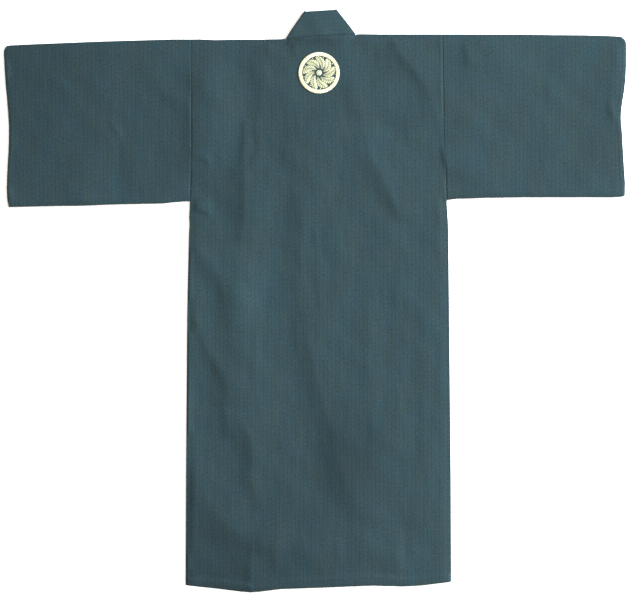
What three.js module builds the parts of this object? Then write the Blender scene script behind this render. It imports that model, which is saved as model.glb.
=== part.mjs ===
// A man's yukata laid out flat, face down, with its back on top.
//
// Each piece of cloth is a wall of even thickness. The walls lie on each other: the left front
// on the floor, the right front over it, and the back over both. The body is cut in one piece,
// folded at the shoulders, so its back and its two fronts are one wall. The sleeves are tubes
// pressed flat. The collar is a doubled band that turns over at the neck's two corners.
//
// Sizes are in millimetres. While it is built, x runs across from the centre back, y runs up
// from the shoulder line towards the collar, and z is the height above the floor.

import * as THREE from "three";

// ---------------------------------------------------------------- driving dimensions

const CLOTH = 1.2; // wall of a single cloth
const BAND = 2.4; // wall of the collar, which is cloth folded double
const SEAM = 0.3; // left between pieces that are sewn together
const LAYER = CLOTH + SEAM; // height that a cloth takes up under the next one
const BAND_LAYER = BAND + SEAM;

const BODY_LENGTH = 1318; // shoulder to hem, at the centre back
const SLEEVE_DEPTH = 386; // shoulder fold to the sleeve's lower seam
const SLEEVE_JOIN = 275; // how far down from the shoulder the sleeve is sewn to the body
const FRONT_HEM_SHORT = 4; // the fronts' hem stops this far above the back's
const COLLAR_WIDTH = 63;
const COLLAR_DROP = 560; // the collar's ends, below the shoulder
const COLLAR_TURN = 3.4; // the band turns over this far inside each corner of the neck
const OVERLAP_WIDTH = 155; // the overlap panel at its hem
const OVERLAP_TIP = 8; // width of its narrow tip, which meets the collar
const FRONT_EDGE_LEAN = 12; // below the collar the front edge moves back by this much

// The collar's seam meets the body at these two corners of the neck.
const NECK = { left: { x: -80, y: -5 }, right: { x: 91, y: 4.5 } };
// From each corner the collar's seam runs down and inwards, at first by start for each
// millimetre down, and less and less by bend.
const COLLAR_LINE = { start: 0.3, bend: 0.00003 };

// Side edges of the body as it lies, by how far they are below the shoulder.
const SIDE_EDGES = [
  { drop: 0, left: -305, right: 298 },
  { drop: 275, left: -305, right: 302 },
  { drop: 330, left: -306, right: 306 },
  { drop: 400, left: -309, right: 308 },
  { drop: 660, left: -315, right: 314 },
  { drop: 1060, left: -318, right: 318 },
  { drop: 1320, left: -319, right: 319 },
];

// The shoulder fold and the hem as they lie, by how far they are from the centre back.
const SHOULDER_LINE = [
  { across: -305, up: -6 },
  { across: -250, up: -7.5 },
  { across: -90, up: -6 },
  { across: -80, up: -5 },
  { across: -48, up: -0.7 },
  { across: 75, up: 7 },
  { across: 91, up: 4.5 },
  { across: 100, up: 6 },
  { across: 298, up: 6 },
];
const HEM_LINE = [
  { across: -319, up: -1315 },
  { across: -163, up: -1332 },
  { across: -115, up: -1326 },
  { across: 0, up: -1321 },
  { across: 125, up: -1316 },
  { across: 204, up: -1317 },
  { across: 319, up: -1305 },
];

// Each sleeve: its upper and lower edges from the armhole outwards, the edge of its cuff from
// the fold downwards, and the width of the slit between it and the body below the join.
const SLEEVES = {
  left: {
    top: [
      { out: 305, up: -6 },
      { out: 500, up: -10.5 },
      { out: 755, up: -23 },
    ],
    bottom: [
      { out: 305, up: -393 },
      { out: 755, up: -407 },
    ],
    cuff: [
      { drop: 0, out: 748 },
      { drop: 10, out: 755 },
      { drop: 70, out: 753 },
      { drop: 200, out: 743 },
      { drop: 384, out: 748 },
    ],
    slit: 1.8,
  },
  right: {
    top: [
      { out: 298, up: 6 },
      { out: 500, up: 6 },
      { out: 738, up: 1 },
    ],
    bottom: [
      { out: 306, up: -390 },
      { out: 405, up: -384 },
      { out: 738, up: -383 },
    ],
    cuff: [
      { drop: 0, out: 732 },
      { drop: 10, out: 738 },
      { drop: 100, out: 738 },
      { drop: 197, out: 726 },
      { drop: 384, out: 736 },
    ],
    slit: 3.2,
  },
};

// Soft folds of the upper cloth. Each runs from its head to its foot and bows to its left as
// it goes. A ridge has a positive rise and a trough a negative one, and half is half its width.
const FOLDS = [
  // the left half of the back
  { head: [-147, -50], foot: [-158, -310], bow: -6, half: 15, rise: 2.6 },
  { head: [-158, -300], foot: [-166, -660], bow: -9, half: 21, rise: 2.6 },
  { head: [-240, -80], foot: [-226, -330], bow: 8, half: 34, rise: 1.6 },
  { head: [-290, -500], foot: [-205, -730], bow: 10, half: 20, rise: 2.2 },
  { head: [-285, -690], foot: [-196, -960], bow: 14, half: 19, rise: 2.4 },
  { head: [-230, -900], foot: [-130, -1030], bow: -8, half: 17, rise: 2.2 },
  { head: [-300, -1040], foot: [-150, -1215], bow: 12, half: 24, rise: 2.5 },
  { head: [-162, -1180], foot: [-163, -1330], bow: 0, half: 20, rise: 2.4 },
  // the middle of the back
  { head: [-30, -220], foot: [-28, -720], bow: -8, half: 25, rise: 2.4 },
  { head: [0, -760], foot: [62, -1080], bow: 14, half: 26, rise: 2.4 },
  { head: [-66, -1060], foot: [-58, -1290], bow: 4, half: 26, rise: 1.8 },
  // the right half of the back
  { head: [92, -150], foot: [210, -410], bow: -16, half: 20, rise: 2.5 },
  { head: [205, -420], foot: [205, -1000], bow: -8, half: 22, rise: 2.2 },
  { head: [203, -1120], foot: [204, -1316], bow: 0, half: 22, rise: 2.2 },
  { head: [206, -20], foot: [300, -180], bow: 12, half: 16, rise: 2.0 },
  { head: [118, -620], foot: [128, -1180], bow: -10, half: 28, rise: 2.0 },
  // the sleeves
  { head: [-410, -105], foot: [-345, -250], bow: -10, half: 18, rise: 1.8 },
  { head: [-478, -150], foot: [-478, -402], bow: 0, half: 14, rise: -1.0 },
  { head: [-640, -60], foot: [-600, -330], bow: 14, half: 34, rise: 1.6 },
  { head: [350, -30], foot: [366, -150], bow: 4, half: 16, rise: 1.6 },
  { head: [470, -110], foot: [540, -360], bow: -12, half: 36, rise: 1.6 },
];

const LOFT = { air: 1.2, reach: 34 }; // air under the upper cloth, and how soon it ends at an edge
const STEP = { margin: 16, run: 34 }; // cloth comes down over this run past what it lies on

// The round patch has a raised border and a wreath of slanting leaves round a middle button.
// It is stiff, so the cloth lies flat under it, on a bed that ends beyond reach over its run.
const PATCH = { x: 1.5, y: -86, radius: 49.5, border: 9, thickness: 1.6 };
const PATCH_BED = { height: 6.6, reach: 66, run: 26 };
// Places on the patch's face are shares of the way from its middle to its border.
const RELIEF = {
  borderRise: 0.9,
  threadRise: 0.5,
  button: 0.2,
  leafFrom: 0.36,
  leafTo: 0.94,
  leaves: 12,
  slant: 0.9, // angle in radians by which a leaf runs round from the middle to the border
  edge: 0.1, // share over which the thread rises
};

// How finely the walls are divided.
const GRID = {
  side: 10, // columns from the body's side to the neck
  neck: 8, // columns across the neck
  armSewn: 10, // rows down to where the sleeve's seam ends
  armFree: 3, // rows from there to the sleeve's lower edge
  waist: 7, // rows from there to below the collar's ends
  backSkirt: 21, // rows from there to the back's hem
  frontSkirt: 5, // rows from there to the fronts' hem
  fold: 4, // steps round a fold
  tipRow: 7, // the overlap panel starts at this row
  sleeveAcross: 18,
  sleeveUnder: 2, // rows of the sleeve's lower wall to the seam's end, and from there on
  overlapAcross: 5,
  collarAcross: 4,
  collarLeg: 20, // rows of each leg, crowded towards the turn by this power
  legCrowding: 1.2,
  collarBack: 8,
  patchField: 5, // rings inside the border
  patchBorder: 4, // rings of the border
  patchSectors: 48,
};

// ---------------------------------------------------------------- small helpers

const SIDES = ["left", "right"];
const inwardsOf = (side) => (side === "left" ? 1 : -1);
const lerp = (a, b, t) => a + (b - a) * t;
const mix = ([ax, ay], [bx, by], t) => [lerp(ax, bx, t), lerp(ay, by, t)];
const smooth = (t) => {
  const c = Math.min(1, Math.max(0, t));
  return c * c * (3 - 2 * c);
};

// The value of a table's column, straight between its rows.
function readTable(table, keyName, column, key) {
  for (let i = 1; i < table.length; i++) {
    const a = table[i - 1];
    const b = table[i];
    if (key <= b[keyName]) {
      const t = Math.max(0, (key - a[keyName]) / (b[keyName] - a[keyName]));
      return lerp(a[column], b[column], t);
    }
  }
  return table[table.length - 1][column];
}

const sideEdge = (side, drop) => readTable(SIDE_EDGES, "drop", side, drop);
const shoulderAt = (x) => readTable(SHOULDER_LINE, "across", "up", x);
const hemAt = (x) => readTable(HEM_LINE, "across", "up", x);

// ---------------------------------------------------------------- rows of the body

const ARM_ROWS = GRID.armSewn + GRID.armFree;
const UPPER_ROWS = ARM_ROWS + GRID.waist;
const WAIST_DROP = COLLAR_DROP + STEP.margin + STEP.run;

// How far down row j is, from 0 at the shoulder to 1 at the hem, with so many rows below the
// collar's ends. A row stands where the sleeve's seam ends and where the sleeve ends.
function rowShare(j, skirtRows) {
  const stops = [
    { row: 0, drop: 0 },
    { row: GRID.armSewn, drop: SLEEVE_JOIN },
    { row: ARM_ROWS, drop: SLEEVE_DEPTH },
    { row: UPPER_ROWS, drop: WAIST_DROP },
    { row: UPPER_ROWS + skirtRows, drop: BODY_LENGTH },
  ];
  return readTable(stops, "row", "drop", j) / BODY_LENGTH;
}

// A point on the body's side edge.
function bodyEdge(side, share) {
  const x = sideEdge(side, share * BODY_LENGTH);
  return [x, lerp(shoulderAt(x), hemAt(x), share)];
}

// ---------------------------------------------------------------- where the fronts' edges run

// The collar's seam on a side, as an x for each y. Above the corner it is a straight line.
function collarSeamX(side, y) {
  const drop = NECK[side].y - y;
  const bent = drop > 0 ? COLLAR_LINE.bend * drop * drop : 0;
  return NECK[side].x + inwardsOf(side) * (COLLAR_LINE.start * drop - bent);
}

// How far that seam goes inwards for each millimetre down.
function collarSlope(side, y) {
  const drop = Math.max(0, NECK[side].y - y);
  return COLLAR_LINE.start - 2 * COLLAR_LINE.bend * drop;
}

// The inner edge of a front with its overlap panel: the collar's seam, then straight to the hem.
function frontEdgeX(side, y) {
  const end = NECK[side].y - COLLAR_DROP;
  if (y >= end) return collarSeamX(side, y);
  const down = (end - y) / (BODY_LENGTH - COLLAR_DROP);
  return collarSeamX(side, end) - inwardsOf(side) * FRONT_EDGE_LEAN * down;
}

const frontHem = (x) => hemAt(x) + FRONT_HEM_SHORT;

// Where an overlap panel starts, on a row of the front's inner edge.
function tipY(side) {
  return lerp(NECK[side].y, frontHem(0), rowShare(GRID.tipRow, GRID.frontSkirt));
}

// The seam between a front and its overlap panel, from the tip to the hem.
function overlapSeamX(side, y) {
  const top = tipY(side);
  const foot = frontHem(0);
  const tipX = collarSeamX(side, top) - inwardsOf(side) * OVERLAP_TIP;
  const footX = frontEdgeX(side, foot) - inwardsOf(side) * OVERLAP_WIDTH;
  return lerp(tipX, footX, (top - y) / (top - foot));
}

// ---------------------------------------------------------------- heights

// 1 up to a margin past an edge, and then down to 0.
const stepDown = (past) => 1 - smooth((past - STEP.margin) / STEP.run);

// Height that one front with its half of the collar takes up under what lies on it.
function frontHeight(side, x, y) {
  const inwards = inwardsOf(side);
  const cloth = LAYER * stepDown(inwards * (x - frontEdgeX(side, y)));
  const across = inwards * (x - collarSeamX(side, y));
  const width = COLLAR_WIDTH * Math.hypot(1, collarSlope(side, y));
  const pastEnd = NECK[side].y - COLLAR_DROP - y;
  const band = BAND_LAYER * stepDown(Math.max(across - width, -across, pastEnd));
  return Math.max(cloth, band);
}

const underRightFront = (x, y) => frontHeight("left", x, y);
const underBack = (x, y) =>
  Math.max(LAYER, frontHeight("left", x, y) + frontHeight("right", x, y));

// 1 between the corners of the neck, where the back's cloth and the collar rise over the legs
// of the collar, and 0 at those corners.
const overNeck = (x) => smooth(Math.min(x - NECK.left.x, NECK.right.x - x) / LOFT.reach);

// How far a point is inside the outline of the body and sleeves. At the hem and the neck it
// never gets to 0, so that the hem waves with the folds that run into it.
function inset(x, y) {
  const drop = -y;
  const body = Math.min(
    x - sideEdge("left", drop),
    sideEdge("right", drop) - x,
    shoulderAt(x) - y + overNeck(x) * LOFT.reach,
    y - hemAt(x) + LOFT.reach / 2,
  );
  const sleeve = SLEEVES[x < 0 ? "left" : "right"];
  const out = Math.abs(x);
  const arm = Math.min(
    readTable(sleeve.cuff, "drop", "out", drop) - out,
    readTable(sleeve.top, "out", "up", out) - y,
    y - readTable(sleeve.bottom, "out", "up", out),
  );
  return Math.max(body, arm);
}

// One fold's height at a point: a bell across it, fading out at its two ends.
function foldHeight({ head, foot, bow, half, rise }, x, y) {
  const run = new THREE.Vector2(foot[0] - head[0], foot[1] - head[1]);
  const length = run.length();
  run.normalize();
  const along = ((x - head[0]) * run.x + (y - head[1]) * run.y) / length;
  const aside = (x - head[0]) * run.y - (y - head[1]) * run.x;
  const bowed = aside + bow * 4 * along * (1 - along);
  const bell = Math.exp(-0.5 * (bowed / half) ** 2);
  const fade = 0.15; // share of the length over which an end fades, in and out
  const ends = smooth((along + fade) / (2 * fade)) * smooth((1 + fade - along) / (2 * fade));
  return rise * bell * ends;
}

// Underside of the upper cloth: what it lies on, the air under it and its folds, all levelled
// where the patch is.
function upperCloth(x, y) {
  const freedom = smooth(inset(x, y) / LOFT.reach);
  const folds = FOLDS.reduce((sum, fold) => sum + foldHeight(fold, x, y), 0);
  const height = underBack(x, y) + freedom * Math.max(0, LOFT.air + folds);
  const away = Math.hypot(x - PATCH.x, y - PATCH.y);
  return lerp(PATCH_BED.height, height, smooth((away - PATCH_BED.reach) / PATCH_BED.run));
}

// ---------------------------------------------------------------- walls of cloth

// A closed wall from a grid of paired points. pairAt(i, j) gives the outer and the inner point
// of a grid corner, present(i, j) says whether a cell is there, and a ring closes in j.
function wall(columns, rows, pairAt, { present = () => true, ring = false } = {}) {
  const lines = ring ? rows : rows + 1;
  const positions = [];
  for (let i = 0; i <= columns; i++) {
    for (let j = 0; j < lines; j++) {
      const { outer, inner } = pairAt(i, j);
      positions.push(...outer, ...inner);
    }
  }
  const isCell = (i, j) => {
    const row = ring ? (j + rows) % rows : j;
    return i >= 0 && i < columns && row >= 0 && row < rows && present(i, row);
  };
  const index = [];
  const quad = (a, b, c, d) => index.push(a, b, c, a, c, d);
  for (let i = 0; i < columns; i++) {
    for (let j = 0; j < rows; j++) {
      if (!isCell(i, j)) continue;
      const at = (di, dj, layer) => 2 * ((i + di) * lines + ((j + dj) % lines)) + layer;
      quad(at(0, 0, 0), at(1, 0, 0), at(1, 1, 0), at(0, 1, 0));
      quad(at(0, 0, 1), at(0, 1, 1), at(1, 1, 1), at(1, 0, 1));
      if (!isCell(i - 1, j)) quad(at(0, 0, 0), at(0, 1, 0), at(0, 1, 1), at(0, 0, 1));
      if (!isCell(i + 1, j)) quad(at(1, 0, 0), at(1, 0, 1), at(1, 1, 1), at(1, 1, 0));
      if (!isCell(i, j - 1)) quad(at(0, 0, 0), at(0, 0, 1), at(1, 0, 1), at(1, 0, 0));
      if (!isCell(i, j + 1)) quad(at(0, 1, 0), at(1, 1, 0), at(1, 1, 1), at(0, 1, 1));
    }
  }
  return closedGeometry(positions, index);
}

// A geometry that holds only the points that its faces use, with its faces pointing out.
function closedGeometry(positions, index) {
  const renumbered = new Map();
  const kept = [];
  const faces = index.map((old) => {
    if (!renumbered.has(old)) {
      renumbered.set(old, renumbered.size);
      kept.push(...positions.slice(3 * old, 3 * old + 3));
    }
    return renumbered.get(old);
  });
  const point = (k) => new THREE.Vector3(...kept.slice(3 * faces[k], 3 * faces[k] + 3));
  let volume = 0;
  for (let k = 0; k < faces.length; k += 3) {
    volume += point(k).dot(point(k + 1).cross(point(k + 2)));
  }
  const geometry = new THREE.BufferGeometry();
  geometry.setAttribute("position", new THREE.Float32BufferAttribute(kept, 3));
  geometry.setIndex(volume > 0 ? faces : faces.reverse());
  geometry.computeVertexNormals();
  return geometry;
}

// Paired points of cloth that faces up, with its underside at z, and of cloth that faces down.
const facingUp = ([x, y], z, thick = CLOTH) => ({ outer: [x, y, z + thick], inner: [x, y, z] });
const facingDown = ([x, y], z, thick = CLOTH) => ({ outer: [x, y, z], inner: [x, y, z + thick] });

// Paired points where cloth turns over: turn is 0 above and 1 below, and the fold bulges
// towards a direction in plan.
function turningOver([x, y], towards, turn, low, high, thick = CLOTH) {
  const angle = Math.PI * (0.5 - turn);
  const radius = (high + thick - low) / 2;
  const at = (r) => [
    x + towards[0] * r * Math.cos(angle),
    y + towards[1] * r * Math.cos(angle),
    low + radius + r * Math.sin(angle),
  ];
  return { outer: at(radius), inner: at(radius - thick) };
}

// ---------------------------------------------------------------- the body

const BODY_COLUMNS = 2 * GRID.side + GRID.neck;
const FAR_NECK = GRID.side + GRID.neck;
const BACK_ROWS = UPPER_ROWS + GRID.backSkirt;
const FRONT_ROWS = UPPER_ROWS + GRID.frontSkirt;

// Where a column of the body lies, from 0 at its left edge to 1 at its right, with columns
// standing exactly at the two corners of the neck.
function columnShare(i) {
  const left = sideEdge("left", 0);
  const [near, far] = SIDES.map((side) => (NECK[side].x - left) / (sideEdge("right", 0) - left));
  if (i <= GRID.side) return (near * i) / GRID.side;
  if (i <= FAR_NECK) return lerp(near, far, (i - GRID.side) / GRID.neck);
  return lerp(far, 1, (i - FAR_NECK) / GRID.side);
}

function backPoint(i, j) {
  const share = rowShare(j, GRID.backSkirt);
  const edges = SIDES.map((side) => bodyEdge(side, share)[0]);
  const x = lerp(...edges, columnShare(i));
  return [x, lerp(shoulderAt(x), hemAt(x), share)];
}

// On a front, the columns beside the neck spread out to the inner edge, which follows the
// collar's seam and then the overlap panel's.
function frontPoint(i, j) {
  const side = i <= GRID.side ? "left" : "right";
  const across = (side === "left" ? i : BODY_COLUMNS - i) / GRID.side;
  const share = rowShare(j, GRID.frontSkirt);
  const [outerX, outerY] = bodyEdge(side, share);
  const innerY = lerp(NECK[side].y, frontHem(0), share);
  const innerX = j < GRID.tipRow ? collarSeamX(side, innerY) : overlapSeamX(side, innerY);
  const x = lerp(outerX, innerX, across);
  if (j === 0) return [x, shoulderAt(x)];
  if (j === FRONT_ROWS) return [x, hemAt(x) + FRONT_HEM_SHORT * across];
  return [x, lerp(outerY, innerY, across)];
}

function bodyPair(i, j) {
  const under = i > GRID.side ? underRightFront : () => 0;
  const top = backPoint(i, 0);
  if (j <= BACK_ROWS) {
    const at = backPoint(i, BACK_ROWS - j);
    return facingUp(at, upperCloth(...at));
  }
  if (j < BACK_ROWS + GRID.fold) {
    const turn = (j - BACK_ROWS) / GRID.fold;
    return turningOver(top, [0, 1], turn, under(...top), upperCloth(...top));
  }
  const at = frontPoint(i, j - BACK_ROWS - GRID.fold);
  return facingDown(at, under(...at));
}

function bodyGeometry() {
  const isNeck = (i) => i >= GRID.side && i < FAR_NECK;
  return wall(BODY_COLUMNS, BACK_ROWS + GRID.fold + FRONT_ROWS, bodyPair, {
    present: (i, j) => j < BACK_ROWS || !isNeck(i),
  });
}

// ---------------------------------------------------------------- the overlap panels

function overlapGeometry(side) {
  const under = side === "left" ? () => 0 : underRightFront;
  const rows = FRONT_ROWS - GRID.tipRow;
  const pairAt = (i, j) => {
    const share = rowShare(GRID.tipRow + j, GRID.frontSkirt);
    const y = lerp(NECK[side].y, frontHem(0), share) - (j ? 0 : SEAM);
    const seam = overlapSeamX(side, y) + inwardsOf(side) * SEAM;
    const x = lerp(seam, frontEdgeX(side, y), i / GRID.overlapAcross);
    const at = [x, share < 1 ? y : frontHem(x)];
    return facingDown(at, under(...at));
  };
  return wall(GRID.overlapAcross, rows, pairAt);
}

// ---------------------------------------------------------------- the sleeves

// A point of a sleeve in plan: across is 0 at the armhole and 1 at the cuff. Its rows match
// the body's as far as they are sewn together. Below, a slit parts them.
function sleevePoint(side, across, row) {
  const sleeve = SLEEVES[side];
  const share = rowShare(row, GRID.backSkirt);
  const [edgeX, edgeY] = bodyEdge(side, share);
  const free = (row - GRID.armSewn) / GRID.armFree;
  const [, joinY] = bodyEdge(side, rowShare(GRID.armSewn, GRID.backSkirt));
  const topY = sleeve.top[0].up;
  const lowY = sleeve.bottom[0].up;
  const innerY = free > 0 ? lerp(joinY, lowY, free) : edgeY;
  const down = (topY - innerY) / (topY - lowY);
  const gap = SEAM + sleeve.slit * smooth(2 * free);
  const cuff = readTable(sleeve.cuff, "drop", "out", down * SLEEVE_DEPTH);
  const out = lerp(Math.abs(edgeX) + gap, cuff, across);
  const top = readTable(sleeve.top, "out", "up", out);
  const bottom = readTable(sleeve.bottom, "out", "up", out);
  return [-inwardsOf(side) * out, lerp(top, bottom, down)];
}

function sleeveGeometry(side) {
  const frontStart = ARM_ROWS + GRID.fold;
  const frontEnd = frontStart + 2 * GRID.sleeveUnder;
  const pairAt = (i, j) => {
    const at = (row) => sleevePoint(side, i / GRID.sleeveAcross, row);
    if (j <= ARM_ROWS) return facingUp(at(ARM_ROWS - j), upperCloth(...at(ARM_ROWS - j)));
    if (j < frontStart) {
      const turn = (j - ARM_ROWS) / GRID.fold;
      return turningOver(at(0), [0, 1], turn, 0, upperCloth(...at(0)));
    }
    if (j <= frontEnd) {
      const step = (j - frontStart) / GRID.sleeveUnder;
      const row = step <= 1 ? GRID.armSewn * step : GRID.armSewn + GRID.armFree * (step - 1);
      return facingDown(at(row), 0);
    }
    const turn = 1 - (j - frontEnd) / GRID.fold;
    return turningOver(at(ARM_ROWS), [0, -1], turn, 0, upperCloth(...at(ARM_ROWS)));
  };
  return wall(GRID.sleeveAcross, frontEnd + GRID.fold, pairAt, { ring: true });
}

// ---------------------------------------------------------------- the collar

// The line on which the band turns over at a corner of the neck, from the seam to the free
// edge. Its free end is one collar's width from the back's seam and from the front's.
function collarTurn(side) {
  const inwards = inwardsOf(side);
  const { x, y } = NECK[side];
  const neckLine = new THREE.Vector2(NECK.right.x - NECK.left.x, NECK.right.y - NECK.left.y);
  neckLine.normalize();
  const frontLine = new THREE.Vector2(inwards * COLLAR_LINE.start, -1).normalize();
  const upFromNeck = new THREE.Vector2(-neckLine.y, neckLine.x);
  const inFromFront = new THREE.Vector2(-inwards * frontLine.y, inwards * frontLine.x);
  const cross = upFromNeck.cross(inFromFront);
  const freeX = (COLLAR_WIDTH * (inFromFront.y - upFromNeck.y)) / cross;
  const freeY = (COLLAR_WIDTH * (upFromNeck.x - inFromFront.x)) / cross;
  const moved = neckLine.multiplyScalar(inwards * COLLAR_TURN);
  const seamX = x + moved.x;
  return {
    seam: [seamX, Math.max(y + moved.y, shoulderAt(seamX)) + SEAM],
    free: [seamX + freeX, y + moved.y + freeY],
  };
}

// A point on a leg of the collar: down is 0 at the turn and 1 at the end, across is 0 at the
// seam and 1 at the free edge. Past the turn the leg closes up to the front's inner edge.
function legPoint(side, down, across) {
  const inwards = inwardsOf(side);
  const turn = collarTurn(side);
  const edge = (start, offset) => {
    const straight = (y) =>
      collarSeamX(side, y) + inwards * offset * Math.hypot(1, collarSlope(side, y));
    const y = lerp(start[1], NECK[side].y - COLLAR_DROP, down);
    const settle = 1 - smooth((COLLAR_DROP * down) / COLLAR_WIDTH);
    return [straight(y) + settle * (start[0] - straight(start[1])), y];
  };
  return mix(edge(turn.seam, SEAM), edge(turn.free, COLLAR_WIDTH), across);
}

// A point on the collar's back part: share is 0 at its left turn and 1 at its right one. Its
// seam follows the back's neck edge, and its free edge is straight.
function collarBackPoint(share, across) {
  const at = (edge) => mix(...SIDES.map((side) => legPoint(side, 0, edge)), share);
  const [seamX, straightY] = at(0);
  const settle = smooth(Math.min(share, 1 - share) * GRID.collarBack);
  return mix([seamX, lerp(straightY, shoulderAt(seamX) + 2 * SEAM, settle)], at(1), across);
}

// The collar's back part lies on its legs, as the back's cloth beside it does.
const collarBackHeight = ([x, y]) =>
  Math.max(BAND_LAYER, underBack(x, y) + LOFT.air * overNeck(x));

function collarGeometry() {
  const { collarLeg, collarBack, collarAcross, fold } = GRID;
  const backStart = collarLeg + fold;
  const backEnd = backStart + collarBack;
  const rightStart = backEnd + fold;
  const legShare = (row) => (row / collarLeg) ** GRID.legCrowding;
  const turned = (side, across, turn) => {
    const line = collarTurn(side);
    const run = new THREE.Vector2(line.free[0] - line.seam[0], line.free[1] - line.seam[1]);
    run.normalize();
    const outwards = [-inwardsOf(side) * run.y, inwardsOf(side) * run.x];
    const at = mix(line.seam, line.free, across);
    return turningOver(at, outwards, turn, 0, collarBackHeight(at), BAND);
  };
  const pairAt = (i, j) => {
    const across = i / collarAcross;
    if (j <= collarLeg) {
      return facingDown(legPoint("left", legShare(collarLeg - j), across), 0, BAND);
    }
    if (j < backStart) return turned("left", across, 1 - (j - collarLeg) / fold);
    if (j <= backEnd) {
      const at = collarBackPoint((j - backStart) / collarBack, across);
      return facingUp(at, collarBackHeight(at), BAND);
    }
    if (j < rightStart) return turned("right", across, (j - backEnd) / fold);
    const at = legPoint("right", legShare(j - rightStart), across);
    return facingDown(at, underRightFront(...at), BAND);
  };
  return wall(collarAcross, rightStart + collarLeg, pairAt);
}

// ---------------------------------------------------------------- the round patch

const PATCH_FIELD = PATCH.radius - PATCH.border;

// How far the thread on the patch's face stands up.
function patchRelief(radius, angle) {
  if (radius > PATCH_FIELD) {
    const share = (radius - PATCH_FIELD) / PATCH.border;
    return RELIEF.borderRise * Math.sqrt(Math.max(0, 1 - (2 * share - 1) ** 2));
  }
  const out = radius / PATCH_FIELD;
  const rising = (amount) => smooth(amount / RELIEF.edge);
  const wreath = rising(out - RELIEF.leafFrom) * rising(RELIEF.leafTo - out);
  const leaf = Math.abs(Math.cos((RELIEF.leaves / 2) * (angle - RELIEF.slant * out)));
  return RELIEF.threadRise * Math.max(rising(RELIEF.button - out), wreath * leaf);
}

function patchGeometry() {
  const { patchField, patchBorder, patchSectors } = GRID;
  const rings = patchField + patchBorder;
  const ringRadius = (ring) =>
    ring <= patchField
      ? (PATCH_FIELD * ring) / patchField
      : lerp(PATCH_FIELD, PATCH.radius, (ring - patchField) / patchBorder);
  const foot = PATCH_BED.height + CLOTH + SEAM;
  const positions = [];
  const addPair = (radius, angle) => {
    const x = PATCH.x + radius * Math.cos(angle);
    const y = PATCH.y + radius * Math.sin(angle);
    const top = foot + PATCH.thickness + patchRelief(radius, angle);
    positions.push(x, y, top, x, y, foot);
  };
  addPair(0, 0);
  for (let ring = 1; ring <= rings; ring++) {
    for (let sector = 0; sector < patchSectors; sector++) {
      addPair(ringRadius(ring), (2 * Math.PI * sector) / patchSectors);
    }
  }
  const at = (ring, sector, layer) =>
    2 * (ring ? 1 + (ring - 1) * patchSectors + (sector % patchSectors) : 0) + layer;
  const index = [];
  const quad = (a, b, c, d) => index.push(a, b, c, a, c, d);
  for (let s = 0; s < patchSectors; s++) {
    index.push(at(0, 0, 0), at(1, s, 0), at(1, s + 1, 0));
    index.push(at(0, 0, 1), at(1, s + 1, 1), at(1, s, 1));
    for (let ring = 1; ring < rings; ring++) {
      quad(at(ring, s, 0), at(ring + 1, s, 0), at(ring + 1, s + 1, 0), at(ring, s + 1, 0));
      quad(at(ring, s, 1), at(ring, s + 1, 1), at(ring + 1, s + 1, 1), at(ring + 1, s, 1));
    }
    quad(at(rings, s, 0), at(rings, s, 1), at(rings, s + 1, 1), at(rings, s + 1, 0));
  }
  return closedGeometry(positions, index);
}

// ---------------------------------------------------------------- the garment

const COLOURS = { cloth: 0x40565d, collar: 0x445a5f, patch: 0xcfc48a };

function piece(name, geometry, color, roughness = 0.92) {
  const material = new THREE.MeshStandardMaterial({ color, roughness, metalness: 0 });
  const mesh = new THREE.Mesh(geometry, material);
  mesh.name = name;
  return mesh;
}

const garment = new THREE.Group();
garment.add(
  piece("body", bodyGeometry(), COLOURS.cloth),
  ...SIDES.map((side) => piece(`overlap_${side}`, overlapGeometry(side), COLOURS.cloth)),
  ...SIDES.map((side) => piece(`sleeve_${side}`, sleeveGeometry(side), COLOURS.cloth)),
  piece("collar", collarGeometry(), COLOURS.collar),
  piece("patch", patchGeometry(), COLOURS.patch, 0.45),
);

// The part's origin is on the floor, under the middle of its outline.
const box = new THREE.Box3().setFromObject(garment);
garment.position.set(-(box.min.x + box.max.x) / 2, -(box.min.y + box.max.y) / 2, 0);

export default garment;
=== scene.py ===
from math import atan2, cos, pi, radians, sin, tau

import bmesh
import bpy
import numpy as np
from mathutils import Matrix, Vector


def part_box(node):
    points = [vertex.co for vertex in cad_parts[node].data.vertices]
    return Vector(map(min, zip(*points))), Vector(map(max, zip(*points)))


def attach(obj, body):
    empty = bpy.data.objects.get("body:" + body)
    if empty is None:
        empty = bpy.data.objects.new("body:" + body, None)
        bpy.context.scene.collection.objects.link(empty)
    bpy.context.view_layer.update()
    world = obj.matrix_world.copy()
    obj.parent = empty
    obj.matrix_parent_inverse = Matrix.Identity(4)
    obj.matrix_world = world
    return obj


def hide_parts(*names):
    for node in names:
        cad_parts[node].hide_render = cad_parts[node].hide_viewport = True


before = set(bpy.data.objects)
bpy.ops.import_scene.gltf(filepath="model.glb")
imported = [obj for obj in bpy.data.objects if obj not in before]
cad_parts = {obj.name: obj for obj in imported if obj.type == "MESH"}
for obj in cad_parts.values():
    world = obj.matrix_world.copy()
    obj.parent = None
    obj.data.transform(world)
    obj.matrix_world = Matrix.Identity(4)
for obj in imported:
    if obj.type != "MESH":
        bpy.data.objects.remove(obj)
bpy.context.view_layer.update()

# A man's striped cotton yukata, laid flat and face down on a pale floor, seen from above.
#
# Each piece of cloth is a thin shell on the form of its solid. Sizes are in metres. In the
# functions that shape the cloth, x runs across from the centre back, y runs up from the
# shoulder line, and z is the height above the floor. MM turns the tables' millimetres to metres.

MM = 0.001

# ---- sizes of the garment

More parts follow.
